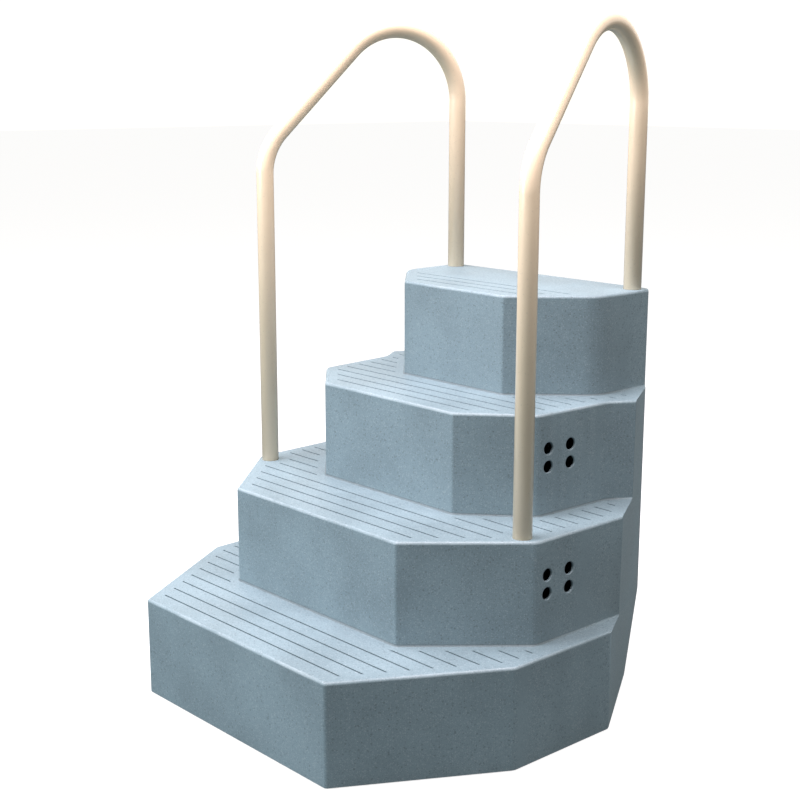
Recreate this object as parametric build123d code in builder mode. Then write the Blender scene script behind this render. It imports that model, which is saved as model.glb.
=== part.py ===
from build123d import *
import os
from collections import namedtuple
from math import ceil, cos, pi, radians, sin, tan

# In-pool step unit: four stacked octagonal treads moulded as one hollow shell, with two bent
# tube handrails that drop into sockets in the second and the top tread.
# Millimetres. X is across the steps, Y runs from the first riser to the pool wall, Z is up.

os.makedirs("parts", exist_ok=True)

# ---------------------------------------------------------------- overall sizes
depth = 1156.0            # first riser to the face that meets the pool wall
riser = 267.0             # rise of every step
shell_wall = 7.0          # moulded wall
pad_proud = 3.0           # the floor pads hold the shell this far off the pool floor

# ---------------------------------------------------------------- plan of each step
# front_half: half width of the straight front; setback: front face behind the first riser;
# side_half and side_start: where the slanted corner ends and the side begins;
# corner_radius rounds the corner between them; aim_half: where the side would be run_past
# behind the back face, if it ran on.
Step = namedtuple("Step", "front_half setback side_half side_start corner_radius aim_half")
steps = [
    Step(370.0, 0.0, 606.0, 392.0, 34.0, 629.0),
    Step(320.0, 267.0, 550.0, 522.0, 34.0, 569.0),
    Step(251.0, 525.0, 416.0, 667.0, 34.0, 478.0),
    Step(190.0, 768.0, 372.0, 945.0, 100.0, 380.0),
]
run_past = 214.0
flare_step = 2            # the third step widens again where it nears the slanted rear face
flare_foot_half = 432.0
flare_foot_ahead = 240.0  # the flare's ends, in front of the back face
flare_reach_ahead = 170.0

base_end_half = 614.0     # half width where the slanted rear faces leave the first step
base_end = 734.0
rear_corner_half = 373.0  # half width of the back face

# ---------------------------------------------------------------- edges
front_corner_radius = 12.0
end_corner_radius = 26.0
rear_corner_radius = 62.0
flare_radius = 70.0
nosing_radius = 8.0       # rounded front edge of every tread
foot_radius = 6.0         # rounded inside corner at the foot of every riser
level_slack = 0.01        # edges this near a tread's height belong to it

# ---------------------------------------------------------------- cut-out for the pool's cove
cove_run = 203.0          # length of the steep slope, ahead of the back face
cove_knee_height = 45.0   # where the gentle slope ends and the steep one starts
cove_height = 248.0       # where the steep slope meets the back face

# ---------------------------------------------------------------- anti-slip grooves
groove_first = 52.0
groove_pitch = 48.0
groove_width = 5.0
groove_depth = 3.0
groove_border = 34.0
groove_clear_of_wall = 26.0
groove_clear_of_rail = 56.0
top_groove_count = 3

# ---------------------------------------------------------------- flood holes
flood_radius = 16.0
flood_rim = 2.5           # rounding of the holes' outer rims
flood_pitch_y = 78.0
flood_pitch_z = 48.0
flood_behind_corner = 75.0
flood_below_tread = 116.0

# ---------------------------------------------------------------- underside
base_thickness = 8.0
ring_width = 75.0         # flat ring that stands on the pads
lip_web = 6.0
lip_width = 28.0
lip_thickness = 6.0
pan_thickness = 6.0
pan_gap = 2.0
pan_recess = 4.0          # screw heads stay inside this recess
rib_height = 12.0
rib_width = 6.0
pan_drain_radius = 10.0
pan_drain_pitch = 150.0

# ---------------------------------------------------------------- handrails
tube_radius = 24.15       # 1.90 inch tube
tube_wall = 2.5
rail_from_corner = 35.0   # front leg, along the slanted face, ahead of the side corner
rail_front_gap = 1.8      # front socket to the inside of the slanted wall
rail_rear_gap = 3.0       # rear socket to the inside of the side and back walls
rail_over_top = 694.0     # centre line's highest point over the top tread
rail_front_bend = 165.0
rail_top_bend = 203.0
rail_rise_angle = 45.0
rail_insertion = 180.0    # length of leg inside its socket
rear_leg_inboard = 225.0  # direction from the right rear leg towards the middle of the unit

# ---------------------------------------------------------------- sockets and plugs
socket_clearance = 0.35
socket_wall = 2.5
socket_floor = 4.0
socket_top_drop = 0.5
socket_drain_radius = 5.0
hole_clearance = 0.2
flange_width = 17.0
flange_thickness = 5.0
flange_gap = 1.0
plug_head = 4.0
plug_gap = 1.0
plug_fit = 0.15
plug_stem = 26.0
plug_stem_wall = 2.5
plug_edge = 1.0

# ---------------------------------------------------------------- screws
screw_radius = 2.4
screw_clearance = 0.5
pilot_clearance = 0.1
screw_head_radius = 4.75
screw_head_height = 3.0
screw_head_edge = 1.0
drive_radius = 1.7
drive_depth = 1.6
socket_screw_length = 10.0
pan_screw_length = 11.5
pan_screw_spacing = 230.0
socket_screw_offset = 8.5
socket_screw_spread = 50.0
pilot_depth = 5.4

# ---------------------------------------------------------------- floor pads and ballast
pad_radius = 24.0
pad_thickness = 6.0
pad_gap = 0.2
pad_inset = 38.0
pad_edge = 1.0
ballast_height = 80.0
ballast_gap = 14.0
ballast_lip_gap = 8.0
ballast_split = 360.0
ballast_corner = 18.0
ballast_edge = 4.0
grip_length = 110.0
grip_width = 34.0
grip_depth = 30.0

front_y = -depth / 2
base_z = pad_proud
lip_z = base_z + pan_recess + pan_thickness
socket_radius = tube_radius + socket_clearance + socket_wall
socket_screw_circle = socket_radius + socket_screw_offset
across = 2 * base_end_half
tread_z = [riser * (i + 1) for i in range(len(steps))]


def at(x, y):
    """A plan point given by its distance behind the first riser."""
    return (x, front_y + y)


def mirrored(right):
    """Corners of the right half, followed by their mirror images back to the front."""
    return right + [((-x, y), radius) for (x, y), radius in reversed(right)]


def draw_outline(corners):
    """Closed outline with rounded corners, drawn in the open line block."""
    points = [at(*point) for point, radius in corners]
    FilletPolyline(*points, radius=[radius for point, radius in corners], close=True)


def step_corners(index):
    """Corners of one step, each with its radius; the sides run on past the back face."""
    step = steps[index]
    right = [
        ((step.front_half, step.setback), front_corner_radius),
        ((step.side_half, step.side_start), step.corner_radius),
    ]
    if index == flare_step:
        right.append(((flare_foot_half, depth - flare_foot_ahead), flare_radius))
        right.append(((step.aim_half, depth - flare_reach_ahead), 0))
    right.append(((step.aim_half, depth + run_past), 0))
    return mirrored(right)


def footprint_corners():
    """Corners of the whole unit seen from above."""
    first = steps[0]
    return mirrored([
        ((first.front_half, first.setback), front_corner_radius),
        ((first.side_half, first.side_start), first.corner_radius),
        ((base_end_half, base_end), end_corner_radius),
        ((rear_corner_half, depth), rear_corner_radius),
    ])


def base_points():
    """Plan of the flat part of the underside, up to where the cove cut-out starts."""
    first = steps[0]
    right = [
        (first.front_half, first.setback),
        (first.side_half, first.side_start),
        (base_end_half, base_end),
    ]
    left = [(-x, y) for x, y in reversed(right)]
    return [at(x, y) for x, y in right + left]


def cove_points(lift):
    """Side view of the space below the underside, as Y and Z, raised by lift."""
    steep = (cove_height - cove_knee_height) / cove_run
    start_y = front_y + base_end
    return [
        (start_y, base_z - run_past),
        (start_y, base_z + lift),
        (front_y + depth - cove_run, base_z + cove_knee_height + lift),
        (front_y + depth + run_past, base_z + cove_height + steep * run_past + lift),
        (front_y + depth + run_past, base_z - run_past),
    ]


def front_leg_place():
    """Right front leg: beside the slanted face of its step, just ahead of the side corner."""
    step = steps[1]
    slant = Vector(step.side_half - step.front_half, step.side_start - step.setback).normalized()
    inward = Vector(-slant.Y, slant.X)
    inside = shell_wall + socket_radius + rail_front_gap
    place = Vector(step.side_half, step.side_start) - slant * rail_from_corner + inward * inside
    return place.X, place.Y, 90 + Vector(1, 0).get_angle(slant)


def rear_leg_place():
    """Right rear leg: in the rear corner of the top step."""
    step = steps[3]
    inside = shell_wall + socket_radius + rail_rear_gap
    y = depth - inside
    side_slope = (step.aim_half - step.side_half) / (depth + run_past - step.side_start)
    return step.side_half + side_slope * (y - step.side_start) - inside, y, rear_leg_inboard


# Each leg: name, plan position, the step it stands in, and the direction towards the inside.
Foot = namedtuple("Foot", "name x y step inboard")
feet = []
for side, sign in (("left", -1), ("right", 1)):
    for end, place, step in (("front", front_leg_place(), 1), ("rear", rear_leg_place(), 3)):
        x, y, inboard = place
        turned = inboard if sign > 0 else 180 - inboard
        feet.append(Foot(f"{end}_{side}", *at(sign * x, y), step, turned))


def flange_screw_points(foot):
    """Plan positions of the screws through one socket flange."""
    points = []
    for turn in (-socket_screw_spread, 0, socket_screw_spread):
        angle = radians(foot.inboard + turn)
        x = foot.x + socket_screw_circle * cos(angle)
        y = foot.y + socket_screw_circle * sin(angle)
        points.append((x, y))
    return points


def inset_base(inset):
    """The flat underside's plan, drawn in smaller by inset."""
    with BuildSketch() as plan:
        with BuildLine():
            Polyline(*base_points(), close=True)
        make_face()
        offset(amount=-inset, kind=Kind.INTERSECTION)
    return plan.sketch


def inset_step(index, inset):
    """Plan of one step, smaller by inset (or larger if negative)."""
    with BuildSketch() as plan:
        with BuildLine():
            draw_outline(step_corners(index))
        make_face()
        offset(amount=-inset)
    return plan.sketch


def is_hole_rim(edge, row_z, inside_face):
    """Whether an edge is the outer rim of a flood hole in the row at row_z."""
    middle = edge.center(CenterOf.BOUNDING_BOX)
    outside = abs(middle.X) > inside_face and abs(middle.Z - row_z) < flood_pitch_z
    return outside and edge.is_closed and edge.length < 3 * pi * flood_radius


def inset_footprint(inset):
    """Plan of the whole unit, smaller by inset."""
    with BuildSketch() as plan:
        with BuildLine():
            draw_outline(footprint_corners())
        make_face()
        offset(amount=-inset)
    return plan.sketch


def groove_plan(index):
    """Grooves of one tread: lines across it, kept off its edges, the next riser and the rails."""
    count = ceil((depth - steps[index].setback) / groove_pitch)
    if index == len(steps) - 1:
        count = top_groove_count
    first = front_y + steps[index].setback + groove_first
    with BuildSketch() as plan:
        for number in range(count):
            with Locations((0, first + number * groove_pitch)):
                Rectangle(across, groove_width)
        add(inset_step(index, groove_border), mode=Mode.INTERSECT)
        add(inset_footprint(groove_border), mode=Mode.INTERSECT)
        if index < len(steps) - 1:
            add(inset_step(index + 1, -groove_clear_of_wall), mode=Mode.SUBTRACT)
        for foot in feet:
            with Locations((foot.x, foot.y)):
                Circle(groove_clear_of_rail, mode=Mode.SUBTRACT)
    return plan.sketch


def screw_points_round_lip():
    """Evenly spaced points along the middle of the lip that carries the pan."""
    line = inset_base(ring_width + lip_web + lip_width / 2)
    points = []
    for edge in line.edges():
        count = ceil(edge.length / pan_screw_spacing)
        for number in range(count):
            point = edge @ ((number + 0.5) / count)
            points.append((point.X, point.Y))
    return points


def pan_head_screws(spots, length):
    """Screws that point up, with the underside of each head at the spot's height."""
    hanging = (Align.CENTER, Align.CENTER, Align.MAX)
    standing = (Align.CENTER, Align.CENTER, Align.MIN)
    with BuildPart() as screws:
        with Locations(*spots):
            Cylinder(screw_head_radius, screw_head_height, align=hanging)
        fillet(screws.faces().filter_by(Axis.Z).group_by(Axis.Z)[0].edges(), screw_head_edge)
        with Locations(*spots):
            Cylinder(screw_radius, length, align=standing)
        with Locations(*[(x, y, z - screw_head_height) for x, y, z in spots]):
            Cylinder(drive_radius, drive_depth, align=standing, mode=Mode.SUBTRACT)
    return screws.part


pad_spots = {}
corners = inset_base(pad_inset).vertices()
for row, name in enumerate(("front", "side", "rear")):
    pair = corners.sort_by(Axis.Y)[2 * row:2 * row + 2].sort_by(Axis.X)
    for vertex, side in zip(pair, ("left", "right")):
        pad_spots[f"{name}_{side}"] = (vertex.X, vertex.Y)
pad_spots["front_middle"] = (0, pad_spots["front_left"][1])
pad_spots["rear_middle"] = (0, pad_spots["rear_left"][1])

pan_screw_spots = screw_points_round_lip()

# Inside of the shell: the same steps, one wall smaller all round and one wall lower.
with BuildPart() as shell_core:
    for index, top in enumerate(tread_z):
        with BuildSketch(Plane.XY.offset(base_z + base_thickness)):
            with BuildLine():
                draw_outline(step_corners(index))
            make_face()
            offset(amount=-shell_wall)
        extrude(amount=top - shell_wall - base_z - base_thickness)
    with BuildSketch():
        with BuildLine():
            draw_outline(footprint_corners())
        make_face()
        offset(amount=-shell_wall)
    extrude(amount=tread_z[-1], mode=Mode.INTERSECT)
    with BuildSketch(Plane.YZ):
        with BuildLine():
            Polyline(*cove_points(shell_wall), close=True)
        make_face()
    extrude(amount=across, both=True, mode=Mode.SUBTRACT)

# ---------------------------------------------------------------- step shell
with BuildPart() as step_shell:
    for index, top in enumerate(tread_z):
        with BuildSketch(Plane.XY.offset(base_z)):
            with BuildLine():
                draw_outline(step_corners(index))
            make_face()
        extrude(amount=top - base_z)
    rear_limit = front_y + depth + run_past / 2
    for top in tread_z[:-1]:
        rims = edges().filter_by_position(Axis.Z, top - level_slack, top + level_slack)
        riser_feet = rims.filter_by(lambda rim: rim.is_interior and rim.center().Y < rear_limit)
        fillet(riser_feet, foot_radius)
    for top in tread_z:
        rims = edges().filter_by_position(Axis.Z, top - level_slack, top + level_slack)
        nosings = rims.filter_by(lambda rim: not rim.is_interior and rim.center().Y < rear_limit)
        fillet(nosings, nosing_radius)
    with BuildSketch():
        with BuildLine():
            draw_outline(footprint_corners())
        make_face()
    extrude(amount=tread_z[-1], mode=Mode.INTERSECT)
    with BuildSketch(Plane.YZ):
        with BuildLine():
            Polyline(*cove_points(0), close=True)
        make_face()
    extrude(amount=across, both=True, mode=Mode.SUBTRACT)
    add(shell_core.part, mode=Mode.SUBTRACT)

    for index, top in enumerate(tread_z):
        with BuildSketch(Plane.XY.offset(top)):
            add(groove_plan(index))
        extrude(amount=-groove_depth, mode=Mode.SUBTRACT)

    for index in (1, 2):
        row_y = front_y + steps[index].side_start + flood_behind_corner
        row_z = tread_z[index] - flood_below_tread
        with BuildSketch(Plane.YZ):
            with Locations((row_y, row_z)):
                with GridLocations(flood_pitch_y, flood_pitch_z, 2, 2):
                    Circle(flood_radius)
        extrude(amount=across, both=True, mode=Mode.SUBTRACT)
        inside_face = steps[index].side_half - shell_wall / 2
        rims = edges().filter_by(lambda edge: is_hole_rim(edge, row_z, inside_face))
        fillet(rims, flood_rim)

    # web and lip round the opening in the underside
    with BuildSketch(Plane.XY.offset(base_z)):
        add(inset_base(ring_width))
    extrude(amount=lip_z + lip_thickness - base_z)
    with BuildSketch(Plane.XY.offset(base_z)):
        add(inset_base(ring_width + lip_web))
    extrude(amount=lip_z - base_z, mode=Mode.SUBTRACT)
    with BuildSketch(Plane.XY.offset(lip_z)):
        add(inset_base(ring_width + lip_web + lip_width))
    extrude(amount=lip_thickness, mode=Mode.SUBTRACT)
    with BuildSketch(Plane.XY.offset(lip_z)):
        with Locations(*pan_screw_spots):
            Circle(screw_radius + pilot_clearance)
    extrude(amount=lip_thickness, mode=Mode.SUBTRACT)

    # seats of the floor pads
    with BuildSketch(Plane.XY.offset(base_z)):
        with Locations(*pad_spots.values()):
            Circle(pad_radius + pad_gap)
    extrude(amount=pad_thickness - pad_proud, mode=Mode.SUBTRACT)

    # holes for the rail sockets and their screws
    for foot in feet:
        under = tread_z[foot.step] - shell_wall
        with BuildSketch(Plane.XY.offset(under)):
            with Locations((foot.x, foot.y)):
                Circle(socket_radius + hole_clearance)
        extrude(amount=shell_wall, mode=Mode.SUBTRACT)
        with BuildSketch(Plane.XY.offset(under)):
            with Locations(*flange_screw_points(foot)):
                Circle(screw_radius + pilot_clearance)
        extrude(amount=pilot_depth, mode=Mode.SUBTRACT)

step_shell.part.label = "step_shell"
export_step(step_shell.part, "parts/step_shell.step")

# ---------------------------------------------------------------- base pan
with BuildPart() as base_pan:
    with BuildSketch(Plane.XY.offset(lip_z - pan_thickness)):
        add(inset_base(ring_width + lip_web + pan_gap))
    extrude(amount=pan_thickness)
    # low ribs that keep the ballast blocks apart
    with BuildSketch(Plane.XY.offset(lip_z)):
        add(inset_base(ring_width + lip_web + lip_width + pan_gap))
        with BuildSketch(mode=Mode.INTERSECT):
            Rectangle(rib_width, 2 * depth)
            with Locations((0, front_y + ballast_split)):
                Rectangle(across, rib_width)
    extrude(amount=rib_height)
    with BuildSketch(Plane.XY.offset(lip_z - pan_thickness)):
        with Locations(*pan_screw_spots):
            Circle(screw_radius + screw_clearance)
        with Locations((0, front_y + ballast_split)):
            with GridLocations(pan_drain_pitch, pan_drain_pitch, 4, 2):
                Circle(pan_drain_radius)
    extrude(amount=pan_thickness, mode=Mode.SUBTRACT)

base_pan.part.label = "base_pan"
export_step(base_pan.part, "parts/base_pan.step")

# ---------------------------------------------------------------- ballast blocks
quadrants = {
    "front_left": (-1, -1),
    "front_right": (1, -1),
    "rear_left": (-1, 1),
    "rear_right": (1, 1),
}
for name, (side_x, side_y) in quadrants.items():
    quarter_x = side_x * (across + ballast_gap) / 2
    quarter_y = front_y + ballast_split + side_y * (depth + ballast_gap) / 2
    with BuildPart() as block:
        with BuildSketch(Plane.XY.offset(lip_z)):
            add(inset_base(ring_width + lip_web + lip_width + ballast_lip_gap))
            with Locations((quarter_x, quarter_y)):
                Rectangle(across, depth, mode=Mode.INTERSECT)
            fillet(vertices(), ballast_corner)
        extrude(amount=ballast_height)
        top_face = faces().sort_by(Axis.Z)[-1]
        centre = top_face.center()
        chamfer(top_face.edges(), ballast_edge)
        with BuildSketch(Plane.XY.offset(lip_z + ballast_height)):
            with Locations((centre.X, centre.Y)):
                SlotOverall(grip_length, grip_width)
        extrude(amount=-grip_depth, mode=Mode.SUBTRACT)
    block.part.label = f"ballast_block_{name}"
    export_step(block.part, f"parts/ballast_block_{name}.step")

# ---------------------------------------------------------------- rail sockets
for foot in feet:
    top = tread_z[foot.step]
    under = top - shell_wall
    bottom = top - rail_insertion - plug_head - plug_gap - socket_floor
    with BuildPart() as socket:
        with BuildSketch(Plane.XY.offset(under - flange_thickness)):
            with Locations((foot.x, foot.y)):
                Circle(socket_radius + flange_width)
            add(inset_step(foot.step, shell_wall + flange_gap), mode=Mode.INTERSECT)
            add(inset_footprint(shell_wall + flange_gap), mode=Mode.INTERSECT)
        extrude(amount=flange_thickness)
        with BuildSketch(Plane.XY.offset(bottom)):
            with Locations((foot.x, foot.y)):
                Circle(socket_radius)
        extrude(amount=top - socket_top_drop - bottom)
        with BuildSketch(Plane.XY.offset(bottom + socket_floor)):
            with Locations((foot.x, foot.y)):
                Circle(tube_radius + socket_clearance)
        extrude(amount=top - bottom, mode=Mode.SUBTRACT)
        with BuildSketch(Plane.XY.offset(bottom)):
            with Locations((foot.x, foot.y)):
                Circle(socket_drain_radius)
        extrude(amount=socket_floor, mode=Mode.SUBTRACT)
        with BuildSketch(Plane.XY.offset(under - flange_thickness)):
            with Locations(*flange_screw_points(foot)):
                Circle(screw_radius + screw_clearance)
        extrude(amount=flange_thickness, mode=Mode.SUBTRACT)
    socket.part.label = f"rail_socket_{foot.name}"
    export_step(socket.part, f"parts/rail_socket_{foot.name}.step")

# ---------------------------------------------------------------- handrails
bend_centre_z = tread_z[-1] + rail_over_top - rail_top_bend
rise = radians(rail_rise_angle)
for side, (front_foot, rear_foot) in {"left": feet[:2], "right": feet[2:]}.items():
    front = Vector(front_foot.x, front_foot.y)
    rear = Vector(rear_foot.x, rear_foot.y)
    span = (rear - front).length
    along = (rear - front).normalized()
    rail_plane = Plane(origin=front, x_dir=along, z_dir=along.cross(Vector(0, 0, 1)))
    reach = span - rail_top_bend - rail_top_bend * sin(rise)
    lower_z = bend_centre_z + rail_top_bend * cos(rise) - reach * tan(rise)
    upper_z = lower_z + span * tan(rise)
    with BuildPart() as handrail:
        with BuildLine(rail_plane) as path:
            FilletPolyline(
                (0, tread_z[1] - rail_insertion),
                (0, lower_z),
                (span, upper_z),
                (span, tread_z[3] - rail_insertion),
                radius=[rail_front_bend, rail_top_bend],
            )
        with BuildSketch(Plane(origin=path.line @ 0, z_dir=(0, 0, 1))):
            Circle(tube_radius)
            Circle(tube_radius - tube_wall, mode=Mode.SUBTRACT)
        sweep()
    handrail.part.label = f"{side}_handrail"
    export_step(handrail.part, f"parts/{side}_handrail.step")
    print(side, "handrail developed length", round(path.wires()[0].length, 1))

# ---------------------------------------------------------------- plugs in the leg ends
stem_radius = tube_radius - tube_wall - plug_fit
for foot in feet:
    tip = tread_z[foot.step] - rail_insertion
    with BuildPart() as plug:
        with BuildSketch(Plane.XY.offset(tip - plug_head)):
            with Locations((foot.x, foot.y)):
                Circle(tube_radius)
        extrude(amount=plug_head)
        chamfer(faces().sort_by(Axis.Z)[0].edges(), plug_edge)
        with BuildSketch(Plane.XY.offset(tip)):
            with Locations((foot.x, foot.y)):
                Circle(stem_radius)
                Circle(stem_radius - plug_stem_wall, mode=Mode.SUBTRACT)
        extrude(amount=plug_stem)
    plug.part.label = f"leg_plug_{foot.name}"
    export_step(plug.part, f"parts/leg_plug_{foot.name}.step")

# ---------------------------------------------------------------- floor pads
for name, spot in pad_spots.items():
    with BuildPart() as pad:
        with BuildSketch():
            with Locations(spot):
                Circle(pad_radius)
        extrude(amount=pad_thickness)
        chamfer(faces().sort_by(Axis.Z)[0].edges(), pad_edge)
    pad.part.label = f"floor_pad_{name}"
    export_step(pad.part, f"parts/floor_pad_{name}.step")

# ---------------------------------------------------------------- screws
pan_spots = [(x, y, lip_z - pan_thickness) for x, y in pan_screw_spots]
pan_screws = pan_head_screws(pan_spots, pan_screw_length)
pan_screws.label = "pan_screws"
export_step(pan_screws, "parts/pan_screws.step")

flange_spots = []
for foot in feet:
    head_z = tread_z[foot.step] - shell_wall - flange_thickness
    flange_spots += [(x, y, head_z) for x, y in flange_screw_points(foot)]
socket_screws = pan_head_screws(flange_spots, socket_screw_length)
socket_screws.label = "socket_screws"
export_step(socket_screws, "parts/socket_screws.step")
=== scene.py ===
# %% [markdown]
# In-pool step ladder: four moulded treads, one on another, with two bent tube handrails.
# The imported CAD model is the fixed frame. It gives every place and size, so each piece made
# here starts from the box of the CAD node that it stands for, in metres, with +Z up.
# %% Load the frame
import math
import bmesh
import bpy
from mathutils import Matrix, Vector


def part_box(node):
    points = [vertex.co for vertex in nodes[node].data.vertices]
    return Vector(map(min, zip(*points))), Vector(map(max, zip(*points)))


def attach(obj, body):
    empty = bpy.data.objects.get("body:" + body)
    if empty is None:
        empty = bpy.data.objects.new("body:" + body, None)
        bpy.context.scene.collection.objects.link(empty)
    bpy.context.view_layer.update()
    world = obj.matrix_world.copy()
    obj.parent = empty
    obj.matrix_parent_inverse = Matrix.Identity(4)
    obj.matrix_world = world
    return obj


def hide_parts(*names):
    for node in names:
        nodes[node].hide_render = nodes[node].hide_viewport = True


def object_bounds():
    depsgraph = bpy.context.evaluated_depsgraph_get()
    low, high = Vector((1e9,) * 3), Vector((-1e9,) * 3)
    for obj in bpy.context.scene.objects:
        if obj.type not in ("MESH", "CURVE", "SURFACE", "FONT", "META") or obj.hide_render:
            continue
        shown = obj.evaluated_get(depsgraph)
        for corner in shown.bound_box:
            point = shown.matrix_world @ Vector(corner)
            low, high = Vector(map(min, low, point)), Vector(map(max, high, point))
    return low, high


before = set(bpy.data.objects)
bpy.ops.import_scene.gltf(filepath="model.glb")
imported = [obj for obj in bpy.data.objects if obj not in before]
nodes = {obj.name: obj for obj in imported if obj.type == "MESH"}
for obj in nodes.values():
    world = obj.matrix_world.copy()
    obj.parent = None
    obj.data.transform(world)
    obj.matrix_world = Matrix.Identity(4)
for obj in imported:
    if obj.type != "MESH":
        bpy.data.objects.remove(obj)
cad_low, cad_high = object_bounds()
scene = bpy.context.scene
print("CAD box", [round(v, 3) for v in cad_low], [round(v, 3) for v in cad_high])

# %% [markdown]
# The camera comes first. It stands to the right of the steps and in front of them, about as high
# as the handrails' top bends begin, and looks slightly down, so that every tread shows. A lens a
# bit longer than normal keeps the risers nearly upright. No shift and no depth of field are
# used, so the same camera also serves for the other views.
# %% Camera
camera_data = bpy.data.cameras.new("camera")
camera_data.lens = 63.46
camera_data.clip_end = 150
camera = bpy.data.objects.new("camera", camera_data)
scene.collection.objects.link(camera)
camera_turn = math.radians(47.37)
camera_drop = math.radians(12.57)
camera_roll = math.radians(0.06)
look = Matrix.Rotation(camera_turn, 3, "Z") @ Matrix.Rotation(math.pi / 2 - camera_drop, 3, "X")
camera.rotation_euler = (look @ Matrix.Rotation(camera_roll, 3, "Z")).to_euler()
camera.location = (2.703, -2.490, 1.604)
scene.camera = camera
scene.view_settings.view_transform = "Standard"
print("camera", [round(v, 3) for v in camera.location], "lens", camera_data.lens)

# %% [markdown]
# Several finishes share the same small effects: coloured specks in the plastic, a fine moulded
# or sprayed grain, and paler edges, partly wear where feet and hands rub and partly a painted
# highlight. Each effect is a node group with named inputs, built once and placed in the
# materials with its own values. A group only puts out masks and values. The shader itself stays
# in the material.
# %% Helpers for node trees
def new_group(name, inputs, outputs):
    """An empty shader node group with float inputs (name: value) and outputs (name: type)."""
    group = bpy.data.node_groups.new(name, "ShaderNodeTree")
    group.interface.new_socket("Vector", in_out="INPUT", socket_type="NodeSocketVector")
    for key, value in inputs.items():
        socket = group.interface.new_socket(key, in_out="INPUT", socket_type="NodeSocketFloat")
        socket.default_value = value
    for key, kind in outputs.items():
        group.interface.new_socket(key, in_out="OUTPUT", socket_type=kind)
    return group, group.nodes.new("NodeGroupInput"), group.nodes.new("NodeGroupOutput")


def add_node(tree, kind, inputs=None, **settings):
    """A node with its settings and inputs. An input is a value or another node's output."""
    node = tree.nodes.new(kind)
    for key, value in settings.items():
        setattr(node, key, value)
    for key, value in (inputs or {}).items():
        if isinstance(value, bpy.types.NodeSocket):
            tree.links.new(value, node.inputs[key])
        else:
            node.inputs[key].default_value = value
    return node


def math_node(tree, operation, first, second=0.0, third=0.0):
    inputs = {0: first, 1: second, 2: third}
    return add_node(tree, "ShaderNodeMath", inputs, operation=operation).outputs[0]


def ramp(tree, value, low, high, to_low=0.0, to_high=1.0):
    """Value from low..high, smoothly to to_low..to_high, and no further."""
    inputs = {"Value": value, "From Min": low, "From Max": high, "To Min": to_low, "To Max": to_high}
    node = add_node(tree, "ShaderNodeMapRange", inputs, interpolation_type="SMOOTHSTEP")
    return node.outputs["Result"]


# %% Speck group
def make_specks():
    """Round specks in a random share of the cells: mask 1 inside a speck, 0 outside."""
    inputs = {"Size": 0.003, "Share": 0.3, "Blur": 0.3}
    group, given, result = new_group("specks", inputs, {"Mask": "NodeSocketFloat"})
    scale = math_node(group, "DIVIDE", 1.0, given.outputs["Size"])
    cell_inputs = {"Vector": given.outputs["Vector"], "Scale": scale, "Randomness": 1.0}
    cells = add_node(group, "ShaderNodeTexVoronoi", cell_inputs, feature="F1")
    chosen = add_node(group, "ShaderNodeSeparateColor", {"Color": cells.outputs["Color"]})
    size = math_node(group, "MULTIPLY_ADD", chosen.outputs["Green"], 0.25, 0.18)
    limit = math_node(group, "ADD", size, given.outputs["Blur"])
    inside = ramp(group, cells.outputs["Distance"], size, limit, 1.0, 0.0)
    kept = math_node(group, "LESS_THAN", chosen.outputs["Red"], given.outputs["Share"])
    group.links.new(math_node(group, "MULTIPLY", inside, kept), result.inputs["Mask"])
    return group


effects = {"specks": make_specks()}
print("specks nodes", len(effects["specks"].nodes))


# %% Grain and mottle groups
def make_grain():
    """A height for the Bump node: two sizes of soft bumps laid over each other."""
    inputs = {"Size": 0.002, "Coarse Share": 0.4}
    group, given, result = new_group("grain", inputs, {"Height": "NodeSocketFloat"})
    fine_scale = math_node(group, "DIVIDE", 1.0, given.outputs["Size"])
    coarse_scale = math_node(group, "MULTIPLY", fine_scale, 0.22)
    vector = given.outputs["Vector"]
    fine = add_node(group, "ShaderNodeTexNoise", {"Vector": vector, "Scale": fine_scale, "Detail": 2.0})
    coarse = add_node(group, "ShaderNodeTexNoise", {"Vector": vector, "Scale": coarse_scale, "Detail": 1.0})
    raised = math_node(group, "MULTIPLY", coarse.outputs["Fac"], given.outputs["Coarse Share"])
    total = math_node(group, "ADD", fine.outputs["Fac"], raised)
    group.links.new(total, result.inputs["Height"])
    return group


def make_mottle():
    """Slow, cloudy change over the surface, from -1 to 1, as in any moulded or sprayed skin."""
    group, given, result = new_group("mottle", {"Size": 0.3}, {"Value": "NodeSocketFloat"})
    scale = math_node(group, "DIVIDE", 1.0, given.outputs["Size"])
    cloud_inputs = {"Vector": given.outputs["Vector"], "Scale": scale, "Detail": 3.0}
    cloud = add_node(group, "ShaderNodeTexNoise", cloud_inputs)
    group.links.new(ramp(group, cloud.outputs["Fac"], 0.3, 0.7, -1.0, 1.0), result.inputs["Value"])
    return group


effects["grain"] = make_grain()
effects["mottle"] = make_mottle()
print("grain nodes", len(effects["grain"].nodes), "mottle nodes", len(effects["mottle"].nodes))


# %% Edge wear and highlight group
def make_wear_and_highlight():
    """Where an edge is worn and painted paler as a highlight: a mask from the rounded-edge attribute,
    broken up by noise.
    """
    inputs = {"Edge": 0.0, "Amount": 0.5, "Size": 0.02}
    group, given, result = new_group("wear_and_highlight", inputs, {"Mask": "NodeSocketFloat"})
    scale = math_node(group, "DIVIDE", 1.0, given.outputs["Size"])
    noise_inputs = {"Vector": given.outputs["Vector"], "Scale": scale, "Detail": 4.0}
    patches = ramp(group, add_node(group, "ShaderNodeTexNoise", noise_inputs).outputs["Fac"], 0.35, 0.62)
    mask = math_node(group, "MULTIPLY", patches, given.outputs["Edge"])
    group.links.new(math_node(group, "MULTIPLY", mask, given.outputs["Amount"]), result.inputs["Mask"])
    return group


effects["wear_and_highlight"] = make_wear_and_highlight()
print("shared effects", sorted(effects))

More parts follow.
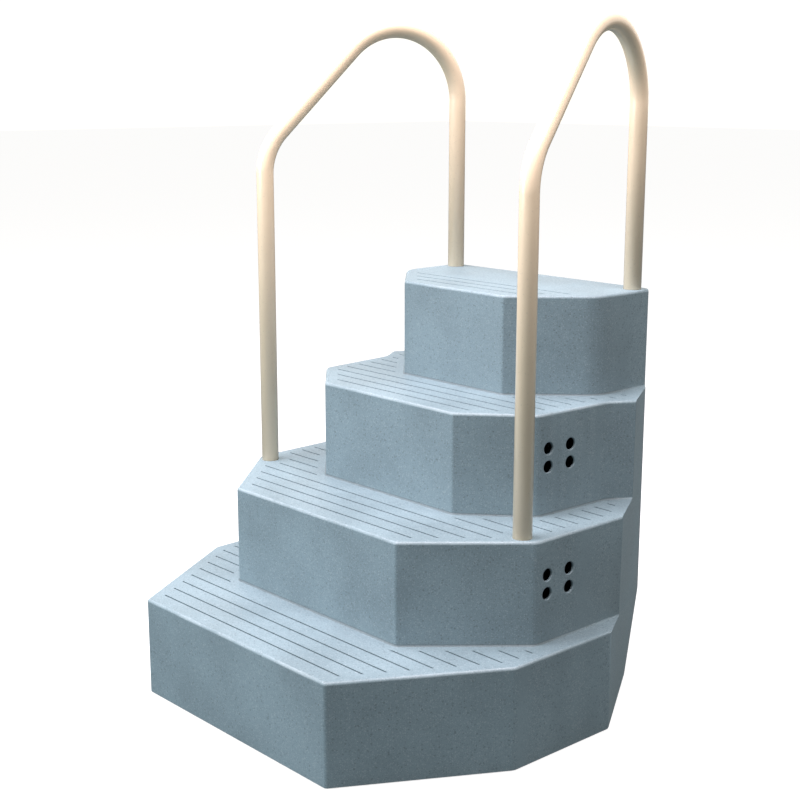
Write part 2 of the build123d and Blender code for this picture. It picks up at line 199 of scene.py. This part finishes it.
# %% [markdown]
# A material starts from a Principled shader and the object's own coordinates. The helpers add a
# shared effect, mix two colours by a mask, and end a material in a fine bump.
# %% Helpers for materials
def new_material(name, color, roughness):
    """A material with a Principled shader; returns it, its tree, the shader and the coordinates."""
    material = bpy.data.materials.new(name)
    material.use_nodes = True
    tree = material.node_tree
    shader = tree.nodes["Principled BSDF"]
    shader.inputs["Base Color"].default_value = (*color, 1.0)
    shader.inputs["Roughness"].default_value = roughness
    place = add_node(tree, "ShaderNodeTexCoord").outputs["Object"]
    return material, tree, shader, place


def effect(tree, name, place, **values):
    """One of the shared groups with its own values; underscores stand for spaces in their names."""
    node = add_node(tree, "ShaderNodeGroup", node_tree=effects[name])
    tree.links.new(place, node.inputs["Vector"])
    for key, value in values.items():
        socket = node.inputs[key.replace("_", " ").title()]
        if isinstance(value, bpy.types.NodeSocket):
            tree.links.new(value, socket)
        else:
            socket.default_value = value
    return node.outputs[0]


def tint(tree, mask, below, above):
    """Colour below where mask is 0 and above where it is 1."""
    mix = add_node(tree, "ShaderNodeMix", data_type="RGBA")
    for socket, value in ((mix.inputs[0], mask), (mix.inputs[6], below), (mix.inputs[7], above)):
        if isinstance(value, bpy.types.NodeSocket):
            tree.links.new(value, socket)
        elif hasattr(value, "__len__"):
            socket.default_value = (*value, 1.0)
        else:
            socket.default_value = value
    return mix.outputs[2]


def add_bump(tree, shader, height, distance):
    """Ends a material in a bump of the given depth."""
    inputs = {"Height": height, "Distance": distance}
    bump = add_node(tree, "ShaderNodeBump", inputs)
    tree.links.new(bump.outputs["Normal"], shader.inputs["Normal"])


# %% [markdown]
# The steps are rotationally moulded from polyethylene with coloured granules in it, which makes
# a blue-grey stone look: a matt skin with fine dark and pale specks. Three layers of specks over
# a slow mottle give that. The rounded nosings are painted paler, partly as wear where feet polish
# them and partly as a painted highlight, and the grooves and the feet of the risers are painted
# darker as shade.
# %% Stone-look plastic
def stone_plastic(name, color, edge_wear_highlight_amount, crease_shade_amount):
    """Flecked moulded plastic, paler on the nosings by the edge wear and painted highlight amount, and
    painted darker in the creases by the painted shade amount.
    """
    material, tree, shader, place = new_material(name, color, 0.5)
    cloud = effect(tree, "mottle", place, size=0.22)
    shade = tuple(0.90 * c for c in color)
    light = tuple(min(1.0, 1.10 * c) for c in color)
    skin = tint(tree, math_node(tree, "MULTIPLY_ADD", cloud, 0.5, 0.5), shade, light)
    fine = effect(tree, "specks", place, size=0.0022, share=0.34, blur=0.35)
    skin = tint(tree, math_node(tree, "MULTIPLY", fine, 0.34), skin, tuple(0.35 * c for c in color))
    pale = effect(tree, "specks", place, size=0.0031, share=0.24, blur=0.3)
    skin = tint(tree, math_node(tree, "MULTIPLY", pale, 0.18), skin, (0.55, 0.62, 0.68))
    coarse = effect(tree, "specks", place, size=0.0052, share=0.12, blur=0.22)
    skin = tint(tree, math_node(tree, "MULTIPLY", coarse, 0.34), skin, tuple(0.25 * c for c in color))
    # Nosings painted paler: partly wear, partly a painted highlight along the rounded edges.
    edge = add_node(tree, "ShaderNodeAttribute", attribute_name="edge").outputs["Fac"]
    edge_wear_highlight = effect(tree, "wear_and_highlight", place, edge=edge, amount=edge_wear_highlight_amount, size=0.15)
    skin = tint(tree, edge_wear_highlight, skin, (0.50, 0.58, 0.63))
    # Painted shade: the groove floors and the feet of the risers are painted darker.
    painted_crease_shade = add_node(tree, "ShaderNodeAttribute", attribute_name="painted_crease_shade").outputs["Fac"]
    skin = tint(tree, math_node(tree, "MULTIPLY", painted_crease_shade, crease_shade_amount), skin, tuple(0.30 * c for c in color))
    tree.links.new(skin, shader.inputs["Base Color"])
    gloss = math_node(tree, "MULTIPLY_ADD", cloud, 0.05, 0.52)
    polish = math_node(tree, "MULTIPLY", edge_wear_highlight, 0.12)
    tree.links.new(math_node(tree, "SUBTRACT", gloss, polish), shader.inputs["Roughness"])
    add_bump(tree, shader, effect(tree, "grain", place, size=0.0018, coarse_share=0.5), 0.00012)
    return material


shell_plastic = stone_plastic("stone_plastic", (0.182, 0.250, 0.288), 0.18, 0.6)
print("material", shell_plastic.name)

# %% [markdown]
# The handrails are powder coated in cream: thick, glossy and slightly wavy, like orange peel.
# A clear coat over a half-matt base gives the long soft highlight on the tube.
# %% Cream powder coat
def powder_coat(name, color):
    """Clear-coated powder paint with a faint orange peel and a little dust."""
    material, tree, shader, place = new_material(name, color, 0.34)
    cloud = effect(tree, "mottle", place, size=0.18)
    half = math_node(tree, "MULTIPLY_ADD", cloud, 0.5, 0.5)
    skin = tint(tree, half, tuple(0.965 * c for c in color), tuple(min(1.0, 1.03 * c) for c in color))
    dust = effect(tree, "specks", place, size=0.004, share=0.06, blur=0.2)
    skin = tint(tree, math_node(tree, "MULTIPLY", dust, 0.15), skin, (0.42, 0.36, 0.28))
    tree.links.new(skin, shader.inputs["Base Color"])
    shader.inputs["Coat Weight"].default_value = 0.6
    shader.inputs["Coat Roughness"].default_value = 0.16
    add_bump(tree, shader, effect(tree, "grain", place, size=0.0025, coarse_share=0.8), 0.000015)
    return material


rail_coat = powder_coat("cream_powder_coat", (0.94, 0.75, 0.545))
print("material", rail_coat.name)

# %% [markdown]
# The remaining finishes are plainer and mostly hidden: satin plastic for the sockets, plugs and
# the pan, cast concrete for the ballast, moulded rubber for the floor pads and satin stainless
# steel for the screws. Each still has its own colour change, grain and roughness.
# %% Satin plastics, concrete, rubber and steel
def satin_plastic(name, color, roughness, grain_size):
    """Even moulded plastic or rubber with a fine grain."""
    material, tree, shader, place = new_material(name, color, roughness)
    cloud = effect(tree, "mottle", place, size=0.08)
    half = math_node(tree, "MULTIPLY_ADD", cloud, 0.5, 0.5)
    skin = tint(tree, half, tuple(0.88 * c for c in color), tuple(min(1.0, 1.1 * c) for c in color))
    tree.links.new(skin, shader.inputs["Base Color"])
    add_bump(tree, shader, effect(tree, "grain", place, size=grain_size, coarse_share=0.3), 0.00008)
    return material


def cast_concrete(name, color):
    """Cloudy grey concrete with dark pores and grit."""
    material, tree, shader, place = new_material(name, color, 0.88)
    cloud = effect(tree, "mottle", place, size=0.05)
    half = math_node(tree, "MULTIPLY_ADD", cloud, 0.5, 0.5)
    skin = tint(tree, half, tuple(0.75 * c for c in color), tuple(min(1.0, 1.15 * c) for c in color))
    pores = effect(tree, "specks", place, size=0.009, share=0.25, blur=0.1)
    skin = tint(tree, math_node(tree, "MULTIPLY", pores, 0.6), skin, tuple(0.35 * c for c in color))
    tree.links.new(skin, shader.inputs["Base Color"])
    grit = effect(tree, "grain", place, size=0.003, coarse_share=0.7)
    add_bump(tree, shader, math_node(tree, "SUBTRACT", grit, pores), 0.0006)
    return material


def brushed_steel(name, color):
    """Metal whose roughness changes a little over the surface."""
    material, tree, shader, place = new_material(name, color, 0.32)
    shader.inputs["Metallic"].default_value = 1.0
    cloud = effect(tree, "mottle", place, size=0.004)
    rough = math_node(tree, "MULTIPLY_ADD", cloud, 0.08, 0.34)
    tree.links.new(rough, shader.inputs["Roughness"])
    add_bump(tree, shader, effect(tree, "grain", place, size=0.0006, coarse_share=0.2), 0.00002)
    return material


socket_finish = satin_plastic("satin_socket_plastic", (0.30, 0.40, 0.45), 0.42, 0.0015)
plug_finish = satin_plastic("satin_plug_plastic", (0.50, 0.45, 0.37), 0.45, 0.0012)
pan_finish = satin_plastic("grained_pan_plastic", (0.12, 0.14, 0.155), 0.6, 0.0025)
pad_finish = satin_plastic("moulded_rubber", (0.028, 0.028, 0.031), 0.78, 0.0012)
ballast_finish = cast_concrete("cast_concrete", (0.40, 0.39, 0.365))
screw_finish = brushed_steel("satin_stainless", (0.62, 0.61, 0.59))
print("materials", len(bpy.data.materials))

# %% [markdown]
# The CAD meshes are loose triangles. The big shell is copied, its corners are merged into one
# closed skin, and its sharp rims, apart from those in the treads, are rounded by about a
# millimetre, because a moulded part has no knife edges. One vertex attribute marks the nosings
# for the edge wear and painted highlight, and another marks the groove floors and the feet of the
# risers, where shade is painted darker.
# %% Merged copies of CAD nodes
merge_distance = 2e-6


def place_piece(mesh, name, material, body, slot, *stands_for):
    """Puts a finished mesh in the scene as a piece of the ladder."""
    mesh.materials.clear()
    mesh.materials.append(material)
    piece = bpy.data.objects.new(name, mesh)
    scene.collection.objects.link(piece)
    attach(piece, body)
    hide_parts(*stands_for)
    return piece


def merged_mesh(node, name):
    """A closed copy of a CAD node's mesh, without the loose triangles' stored normals."""
    shape = bmesh.new()
    shape.from_mesh(nodes[node].data)
    bmesh.ops.remove_doubles(shape, verts=shape.verts, dist=merge_distance)
    mesh = bpy.data.meshes.new(name)
    shape.to_mesh(mesh)
    shape.free()
    for attribute in ("custom_normal", "sharp_face"):
        if attribute in mesh.attributes:
            mesh.attributes.remove(mesh.attributes[attribute])
    mesh.shade_smooth()
    return mesh


plain_shell = merged_mesh("step_shell", "plain_shell")
print("merged shell corners", len(plain_shell.vertices))

# %% Step shell
step_count = 4
shell_low, shell_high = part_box("step_shell")
riser = shell_high.z / step_count
rounded_tilt = (0.04, 0.96)
nosing_radius = 0.008
groove_depth = 0.003
foot_radius = 0.006
crease_slack = 0.0002
lowest_on_tread = -1.1 * groove_depth
highest_on_tread = 0.1 * groove_depth
rim_angle = math.radians(60)
rim_radius = 0.0012
normal_weight = 60
sharp_angle = math.radians(34)


def height_over_tread(z):
    """Height of a point over the nearest tread, negative below it."""
    return z - round(z / riser) * riser


def mark_shell(mesh):
    """Marks nosings for the wear and painted highlight, creases for painted shade and sharp rims for
    rounding.
    """
    shape = bmesh.new()
    shape.from_mesh(mesh)
    edge_layer = shape.verts.layers.float.new("edge")
    crease_shade_layer = shape.verts.layers.float.new("painted_crease_shade")
    weight_layer = shape.edges.layers.float.new("bevel_weight_edge")
    rims = 0
    for corner in shape.verts:
        tilts = [abs(face.normal.z) for face in corner.link_faces]
        rounded = all(rounded_tilt[0] < tilt < rounded_tilt[1] for tilt in tilts)
        height = height_over_tread(corner.co.z)
        # Nosing corners get the mark for wear and painted highlight.
        if rounded and -nosing_radius < height < 0:
            corner[edge_layer] = 1.0
        # Riser feet and groove floors get the painted-shade mark.
        at_foot = rounded and 0 < height < foot_radius
        if at_foot or abs(height + groove_depth) < crease_slack:
            corner[crease_shade_layer] = 1.0
    for line in shape.edges:
        heights = [height_over_tread(corner.co.z) for corner in line.verts]
        on_tread = all(lowest_on_tread < height < highest_on_tread for height in heights)
        if len(line.link_faces) == 2 and line.calc_face_angle(0) > rim_angle and not on_tread:
            line[weight_layer] = 1.0
            rims += 1
    open_lines = sum(1 for line in shape.edges if len(line.link_faces) != 2)
    shape.to_mesh(mesh)
    shape.free()
    print("shell rims", rims, "open lines", open_lines)


def rounded_copy(mesh, name):
    """The mesh with its marked rims rounded; edges steeper than sharp_angle stay sharp."""
    source = bpy.data.objects.new(name, mesh)
    scene.collection.objects.link(source)
    rounding = source.modifiers.new("rim_rounding", "BEVEL")
    rounding.limit_method = "WEIGHT"
    rounding.width = rim_radius
    rounding.segments = 2
    rounding.use_clamp_overlap = False
    bpy.context.view_layer.update()
    depsgraph = bpy.context.evaluated_depsgraph_get()
    rounded = bpy.data.meshes.new_from_object(source.evaluated_get(depsgraph), depsgraph=depsgraph)
    source.modifiers.clear()
    bpy.data.objects.remove(source)
    bpy.data.meshes.remove(mesh)
    rounded.name = name
    rounded.set_sharp_from_angle(angle=sharp_angle)
    return rounded


mark_shell(plain_shell)
shell_mesh = rounded_copy(plain_shell, "stepped_shell")
shell = place_piece(
    shell_mesh, "stepped_shell", shell_plastic, "step_unit", "moulded_shell", "step_shell")
smoothing = shell.modifiers.new("face_weighted_normals", "WEIGHTED_NORMAL")
smoothing.keep_sharp = True
smoothing.weight = normal_weight
print("shell faces", len(shell_mesh.polygons))

# %% [markdown]
# Each handrail is one length of tube bent twice: up out of the second tread, back at 45 degrees,
# and over the top into the rear corner of the top tread. A curve with four points carries the
# two bend radii, and a Geometry Nodes tree rounds the corners and sweeps the tube along it.
# %% Handrail tree
def new_tree(name, inputs):
    """A Geometry Nodes tree with a geometry in and out, and named inputs (name: type, value)."""
    tree = bpy.data.node_groups.new(name, "GeometryNodeTree")
    tree.interface.new_socket("Geometry", in_out="INPUT", socket_type="NodeSocketGeometry")
    for key, (kind, value) in inputs.items():
        socket = tree.interface.new_socket(key, in_out="INPUT", socket_type=kind)
        if value is not None:
            socket.default_value = value
    tree.interface.new_socket("Geometry", in_out="OUTPUT", socket_type="NodeSocketGeometry")
    return tree, tree.nodes.new("NodeGroupInput"), tree.nodes.new("NodeGroupOutput")


def finish_tree(tree, geometry, material_socket, result):
    """Ends a tree in Realize Instances and Set Material."""
    real = add_node(tree, "GeometryNodeRealizeInstances", {"Geometry": geometry})
    painted = add_node(tree, "GeometryNodeSetMaterial", {"Geometry": real.outputs["Geometry"]})
    tree.links.new(material_socket, painted.inputs["Material"])
    tree.links.new(painted.outputs["Geometry"], result.inputs["Geometry"])


def made_by_tree(source, tree, values, name):
    """The plain mesh that a tree makes from a source object, which is then removed."""
    modifier = source.modifiers.new(tree.name, "NODES")
    modifier.node_group = tree
    for item in tree.interface.items_tree:
        if item.item_type == "SOCKET" and item.in_out == "INPUT" and item.name != "Geometry":
            modifier[item.identifier] = values[item.name]
    bpy.context.view_layer.update()
    depsgraph = bpy.context.evaluated_depsgraph_get()
    mesh = bpy.data.meshes.new_from_object(source.evaluated_get(depsgraph), depsgraph=depsgraph)
    mesh.name = name
    source.modifiers.clear()
    bpy.data.objects.remove(source)
    return mesh


length_socket = "NodeSocketFloat"
bend_steps = 40
round_steps = 56
tube_inputs = {
    "Tube Radius": (length_socket, 0.024),
    "Bend Steps": ("NodeSocketInt", bend_steps),
    "Round Steps": ("NodeSocketInt", round_steps),
    "Finish": ("NodeSocketMaterial", None),
}
tube_tree, given, result = new_tree("bent_tube", tube_inputs)
bend_radius = add_node(tube_tree, "GeometryNodeInputRadius").outputs["Radius"]
bend_inputs = {"Curve": given.outputs["Geometry"], "Radius": bend_radius}
rounded = add_node(tube_tree, "GeometryNodeFilletCurve", bend_inputs, mode="POLY")
tube_tree.links.new(given.outputs["Bend Steps"], rounded.inputs["Count"])
even_inputs = {"Curve": rounded.outputs["Curve"], "Radius": 1.0}
even = add_node(tube_tree, "GeometryNodeSetCurveRadius", even_inputs)
section_inputs = {"Radius": given.outputs["Tube Radius"]}
section = add_node(tube_tree, "GeometryNodeCurvePrimitiveCircle", section_inputs)
tube_tree.links.new(given.outputs["Round Steps"], section.inputs["Resolution"])
swept = add_node(tube_tree, "GeometryNodeCurveToMesh", {"Curve": even.outputs["Curve"]})
tube_tree.links.new(section.outputs["Curve"], swept.inputs["Profile Curve"])
finish_tree(tube_tree, swept.outputs["Mesh"], given.outputs["Finish"], result)
print("tree", tube_tree.name, "nodes", len(tube_tree.nodes))

# %% Two handrails
front_bend_radius = 0.165
top_bend_radius = 0.203
rise_angle = math.radians(45)
tube_wall = 0.0025


def middle(node):
    """The middle of a CAD node's box."""
    low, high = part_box(node)
    return (low + high) / 2


def rail_corners(side):
    """The four corners of a handrail's centre line, before its two bends are rounded."""
    front, rear = middle(f"leg_plug_front_{side}"), middle(f"leg_plug_rear_{side}")
    plug_low, plug_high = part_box(f"leg_plug_rear_{side}")
    rail_low, rail_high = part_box(f"{side}_handrail")
    front_plug_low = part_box(f"leg_plug_front_{side}")[0]
    tube_radius = (plug_high.x - plug_low.x) / 2
    span = Vector((rear.x - front.x, rear.y - front.y)).length
    bend_z = rail_high.z - tube_radius - top_bend_radius
    reach = span - top_bend_radius - top_bend_radius * math.sin(rise_angle)
    lower_z = bend_z + top_bend_radius * math.cos(rise_angle) - reach * math.tan(rise_angle)
    upper_z = lower_z + span * math.tan(rise_angle)
    rear_z = plug_low.z + rail_low.z - front_plug_low.z
    corners = [
        ((front.x, front.y, rail_low.z), 0.0),
        ((front.x, front.y, lower_z), front_bend_radius),
        ((rear.x, rear.y, upper_z), top_bend_radius),
        ((rear.x, rear.y, rear_z), 0.0),
    ]
    return corners, tube_radius


def make_handrail(side):
    """One bent tube, swept by the tree along a curve that carries the bend radii."""
    corners, tube_radius = rail_corners(side)
    curve = bpy.data.curves.new(f"{side}_rail_line", "CURVE")
    curve.dimensions = "3D"
    line = curve.splines.new("POLY")
    line.points.add(len(corners) - 1)
    for point, (place, bend) in zip(line.points, corners):
        point.co = (*place, 1.0)
        point.radius = bend
    source = bpy.data.objects.new(curve.name, curve)
    scene.collection.objects.link(source)
    values = {
        "Tube Radius": tube_radius,
        "Bend Steps": bend_steps,
        "Round Steps": round_steps,
        "Finish": rail_coat,
    }
    mesh = made_by_tree(source, tube_tree, values, f"{side}_bent_tube")
    mesh.shade_smooth()
    piece = place_piece(
        mesh, f"{side}_bent_tube", rail_coat, f"{side}_rail", "rail_enamel", f"{side}_handrail")
    wall = piece.modifiers.new("tube_wall", "SOLIDIFY")
    wall.thickness = tube_wall
    wall.offset = -1
    wall.use_even_offset = True
    print(piece.name, "faces", len(mesh.polygons), "top", round(max(v.co.z for v in mesh.vertices), 4))


for side in ("left", "right"):
    make_handrail(side)

# %% [markdown]
# What repeats is made once and placed on points: the eight rubber pads under the shell, each
# with three round ribs that grip the pool floor, and the two sets of pan-head screws, each with
# a cross recess and a rolled thread. The points are read from the CAD nodes' own places.
# %% Helpers for repeated pieces
def solids_of(node):
    """The boxes of the separate solids in a CAD node, as low and high corners."""
    shape = bmesh.new()
    shape.from_mesh(nodes[node].data)
    bmesh.ops.remove_doubles(shape, verts=shape.verts, dist=merge_distance)
    waiting = set(shape.verts)
    boxes = []
    while waiting:
        reached = [waiting.pop()]
        for corner in reached:
            for line in corner.link_edges:
                other = line.other_vert(corner)
                if other in waiting:
                    waiting.discard(other)
                    reached.append(other)
        places = [nodes[node].matrix_world @ corner.co for corner in reached]
        low = Vector(min(place[axis] for place in places) for axis in range(3))
        high = Vector(max(place[axis] for place in places) for axis in range(3))
        boxes.append((low, high))
    shape.free()
    return boxes


def on_points(places, tree, values, name):
    """The mesh that a tree makes on a set of loose points."""
    cloud = bpy.data.meshes.new(f"{name}_points")
    cloud.from_pydata([tuple(place) for place in places], [], [])
    source = bpy.data.objects.new(cloud.name, cloud)
    scene.collection.objects.link(source)
    mesh = made_by_tree(source, tree, values, name)
    bpy.data.meshes.remove(cloud)
    return mesh


def moved(tree, geometry, x=0.0, y=0.0, z=0.0):
    """Geometry moved by x, y and z, each a value or an output."""
    offset = add_node(tree, "ShaderNodeCombineXYZ", {"X": x, "Y": y, "Z": z}).outputs["Vector"]
    inputs = {"Geometry": geometry, "Translation": offset}
    return add_node(tree, "GeometryNodeTransform", inputs).outputs["Geometry"]


def joined(tree, *parts):
    """All the parts as one geometry."""
    node = add_node(tree, "GeometryNodeJoinGeometry")
    for part in parts:
        tree.links.new(part, node.inputs["Geometry"])
    return node.outputs["Geometry"]


def copies_on_points(tree, points, geometry):
    """One copy of the geometry on each point."""
    inputs = {"Points": points, "Instance": geometry}
    return add_node(tree, "GeometryNodeInstanceOnPoints", inputs).outputs["Instances"]


def cylinder(tree, radius, height, low, sides=32):
    """An upright closed cylinder that starts at height low."""
    inputs = {"Vertices": sides, "Radius": radius, "Depth": height}
    mesh = add_node(tree, "GeometryNodeMeshCylinder", inputs).outputs["Mesh"]
    half = math_node(tree, "MULTIPLY_ADD", height, 0.5, low)
    return moved(tree, mesh, z=half)


# %% Floor pad tree
rib_shares = (0.28, 0.55, 0.82)
rib_radius = 0.0012
pad_sides = 64
pad_inputs = {
    "Radius": (length_socket, 0.024),
    "Height": (length_socket, 0.006),
    "Rib Radius": (length_socket, rib_radius),
    "Finish": ("NodeSocketMaterial", None),
}
pad_tree, given, result = new_tree("ribbed_pad", pad_inputs)
rib = given.outputs["Rib Radius"]
disc_height = math_node(pad_tree, "SUBTRACT", given.outputs["Height"], rib)
pad_parts = [cylinder(pad_tree, given.outputs["Radius"], disc_height, rib, pad_sides)]
rib_section = add_node(pad_tree, "GeometryNodeCurvePrimitiveCircle", {"Resolution": 10, "Radius": rib})
for share in rib_shares:
    ring_radius = math_node(pad_tree, "MULTIPLY", given.outputs["Radius"], share)
    circle_inputs = {"Resolution": pad_sides, "Radius": ring_radius}
    ring = add_node(pad_tree, "GeometryNodeCurvePrimitiveCircle", circle_inputs)
    ring_inputs = {"Curve": ring.outputs["Curve"], "Profile Curve": rib_section.outputs["Curve"]}
    tube = add_node(pad_tree, "GeometryNodeCurveToMesh", ring_inputs).outputs["Mesh"]
    pad_parts.append(moved(pad_tree, tube, z=rib))
pads_out = copies_on_points(pad_tree, given.outputs["Geometry"], joined(pad_tree, *pad_parts))
finish_tree(pad_tree, pads_out, given.outputs["Finish"], result)
print("tree", pad_tree.name, "nodes", len(pad_tree.nodes))

# %% Floor pads
pad_names = sorted(name for name in nodes if name.startswith("floor_pad"))
pad_boxes = [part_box(name) for name in pad_names]
pad_points = [((low.x + high.x) / 2, (low.y + high.y) / 2, low.z) for low, high in pad_boxes]
pad_low, pad_high = pad_boxes[0]
pad_values = {
    "Radius": (pad_high.x - pad_low.x) / 2,
    "Height": pad_high.z - pad_low.z,
    "Rib Radius": rib_radius,
    "Finish": pad_finish,
}
pad_mesh = on_points(pad_points, pad_tree, pad_values, "ribbed_floor_pads")
place_piece(pad_mesh, "ribbed_floor_pads", pad_finish, "step_unit", "pad_rubber", *pad_names)
print("pads", len(pad_points), "faces", len(pad_mesh.polygons))

# %% Screw tree
built_head_height = 0.003
recess_share = 0.95
screw_shape = {
    "Head Height": built_head_height,
    "Shank Radius": 0.002,
    "Thread Pitch": 0.0012,
    "Thread Radius": 0.0004,
    "Recess Width": 0.0009,
}
screw_inputs = {key: (length_socket, value) for key, value in screw_shape.items()}
screw_inputs["Head Radius"] = (length_socket, 0.00475)
screw_inputs["Length"] = (length_socket, 0.0115)
screw_inputs["Finish"] = ("NodeSocketMaterial", None)
screw_tree, given, result = new_tree("pan_head_screw", screw_inputs)
head_radius, head_height = given.outputs["Head Radius"], given.outputs["Head Height"]
ball = add_node(screw_tree, "GeometryNodeMeshUVSphere", {"Segments": 40, "Rings": 24, "Radius": 1.0})
ball_size = {"X": head_radius, "Y": head_radius, "Z": head_height}
ball_scale = add_node(screw_tree, "ShaderNodeCombineXYZ", ball_size)
ball_inputs = {"Geometry": ball.outputs["Mesh"], "Scale": ball_scale.outputs["Vector"]}
dome = add_node(screw_tree, "GeometryNodeTransform", ball_inputs).outputs["Geometry"]
dome = moved(screw_tree, dome, z=head_height)
wide = math_node(screw_tree, "MULTIPLY", head_radius, 2.0)
upper_half = cylinder(screw_tree, wide, head_height, head_height)
recess_length = math_node(screw_tree, "MULTIPLY", head_radius, recess_share)
recess_width = given.outputs["Recess Width"]
recess_bars = []
for x, y in ((recess_length, recess_width), (recess_width, recess_length)):
    bar_size = add_node(screw_tree, "ShaderNodeCombineXYZ", {"X": x, "Y": y, "Z": head_height})
    bar = add_node(screw_tree, "GeometryNodeMeshCube", {"Size": bar_size.outputs["Vector"]})
    recess_bars.append(bar.outputs["Mesh"])
cut = add_node(screw_tree, "GeometryNodeMeshBoolean", operation="DIFFERENCE", solver="EXACT")
screw_tree.links.new(dome, cut.inputs["Mesh 1"])
for cutter in (upper_half, *recess_bars):
    screw_tree.links.new(cutter, cut.inputs["Mesh 2"])
shank_radius, screw_length = given.outputs["Shank Radius"], given.outputs["Length"]
shank = cylinder(screw_tree, shank_radius, screw_length, head_height, 24)
pitch = given.outputs["Thread Pitch"]
threaded = math_node(screw_tree, "SUBTRACT", screw_length, math_node(screw_tree, "MULTIPLY", pitch, 2.0))
turns = math_node(screw_tree, "DIVIDE", threaded, pitch)
helix_inputs = {
    "Resolution": 24,
    "Rotations": turns,
    "Start Radius": shank_radius,
    "End Radius": shank_radius,
    "Height": threaded,
}
helix = add_node(screw_tree, "GeometryNodeCurveSpiral", helix_inputs)
thread_section_inputs = {"Resolution": 4, "Radius": given.outputs["Thread Radius"]}
thread_section = add_node(screw_tree, "GeometryNodeCurvePrimitiveCircle", thread_section_inputs)
thread_inputs = {
    "Curve": helix.outputs["Curve"],
    "Profile Curve": thread_section.outputs["Curve"],
    "Fill Caps": True,
}
thread = add_node(screw_tree, "GeometryNodeCurveToMesh", thread_inputs).outputs["Mesh"]
thread_start = math_node(screw_tree, "ADD", head_height, pitch)
thread = moved(screw_tree, thread, z=thread_start)
one_screw = joined(screw_tree, cut.outputs["Mesh"], shank, thread)
screws_out = copies_on_points(screw_tree, given.outputs["Geometry"], one_screw)
finish_tree(screw_tree, screws_out, given.outputs["Finish"], result)
print("tree", screw_tree.name, "nodes", len(screw_tree.nodes))

# %% Screws
for node, name in (("pan_screws", "pan_head_screws"), ("socket_screws", "socket_flange_screws")):
    boxes = solids_of(node)
    low, high = boxes[0]
    values = {
        **screw_shape,
        "Head Radius": (high.x - low.x) / 2,
        "Length": high.z - low.z - built_head_height,
        "Finish": screw_finish,
    }
    points = [((low.x + high.x) / 2, (low.y + high.y) / 2, low.z) for low, high in boxes]
    screw_mesh = on_points(points, screw_tree, values, name)
    place_piece(screw_mesh, name, screw_finish, "step_unit", "stainless", node)
    print(name, len(points), "faces", len(screw_mesh.polygons))

# %% [markdown]
# The sockets, leg plugs, base pan and ballast blocks keep their CAD shapes, which are right, and
# only get their finishes.
# %% Finishes of the CAD nodes that stay
kept_finishes = {
    "rail_socket": socket_finish,
    "leg_plug": plug_finish,
    "base_pan": pan_finish,
    "ballast_block": ballast_finish,
}
for name, node in nodes.items():
    for prefix, finish in kept_finishes.items():
        if name.startswith(prefix):
            node.material_slots[0].material = finish
print("CAD nodes that stay", sum(1 for node in nodes.values() if not node.hide_render))

# %% [markdown]
# A plain pale floor in a white room, with soft light. To the camera and in reflections the room
# is white. The light that it throws on matt faces is dimmer, and what comes up from the floor is
# bluish and weak, so that the lower faces of the steps keep their depth and colour. One big lamp
# high on the left gives the treads their brightness, a second one on the right fills their far
# ends, and a cooler one in front lights the risers.
# %% Floor
floor_mirrored = 0.15


def seen_or_mirrored(tree, mirrored_share):
    """1 for rays from the camera, the given share in reflections and 0 for other rays."""
    rays = add_node(tree, "ShaderNodeLightPath")
    mirrored = math_node(tree, "MULTIPLY", rays.outputs["Is Glossy Ray"], mirrored_share)
    return math_node(tree, "MAXIMUM", rays.outputs["Is Camera Ray"], mirrored)


def pale_floor(name, seen_color, glow, bounce_color):
    """A pale, slightly glowing floor where it is seen or mirrored; a dim bluish one elsewhere."""
    material, tree, shader = new_material(name, seen_color, 0.9)[:3]
    shader.inputs["Specular IOR Level"].default_value = 0.0
    shader.inputs["Emission Color"].default_value = (1.0, 1.0, 1.0, 1.0)
    direct = seen_or_mirrored(tree, floor_mirrored)
    tree.links.new(tint(tree, direct, bounce_color, seen_color), shader.inputs["Base Color"])
    tree.links.new(math_node(tree, "MULTIPLY", direct, glow), shader.inputs["Emission Strength"])
    return material


floor_mesh = bpy.data.meshes.new("floor")
floor_half = 45.0
floor_corners = [(x * floor_half, y * floor_half, 0) for x, y in ((-1, -1), (1, -1), (1, 1), (-1, 1))]
floor_mesh.from_pydata(floor_corners, [], [(0, 1, 2, 3)])
floor_mesh.materials.append(pale_floor("pale_floor", (0.32, 0.32, 0.32), 0.84, (0.07, 0.10, 0.11)))
floor = bpy.data.objects.new("floor", floor_mesh)
scene.collection.objects.link(floor)
print("floor", 2 * floor_half, "m wide")

# %% Lights
middle_of_ladder = (cad_low + cad_high) / 2


def add_lamp(name, offset, width, power, color):
    """A square soft lamp at an offset from the middle of the ladder, turned towards it."""
    data = bpy.data.lights.new(name, "AREA")
    data.shape = "SQUARE"
    data.size = width
    data.energy = power
    data.color = color
    lamp = bpy.data.objects.new(name, data)
    scene.collection.objects.link(lamp)
    lamp.location = middle_of_ladder + Vector(offset)
    lamp.rotation_euler = (-Vector(offset)).to_track_quat("-Z", "Y").to_euler()


add_lamp("top_lamp", (-1.2, -1.5, 4.9), 4.0, 610.0, (1.0, 0.91, 0.95))
add_lamp("front_lamp", (-1.6, -3.6, 1.2), 2.5, 98.0, (0.86, 0.97, 1.0))
add_lamp("right_lamp", (2.1, 0.1, 4.8), 2.4, 220.0, (1.0, 0.91, 0.92))
room_light = 0.42
room_white = 1.15
world = bpy.data.worlds.new("soft_room")
world.use_nodes = True
room = world.node_tree
room.nodes["Background"].inputs["Color"].default_value = (1.0, 0.97, 0.90, 1.0)
bright = seen_or_mirrored(room, 1.0)
strength = math_node(room, "MULTIPLY_ADD", bright, room_white - room_light, room_light)
room.links.new(strength, room.nodes["Background"].inputs["Strength"])
scene.world = world
print("lamps", len(bpy.data.lights), "room light", room_light)
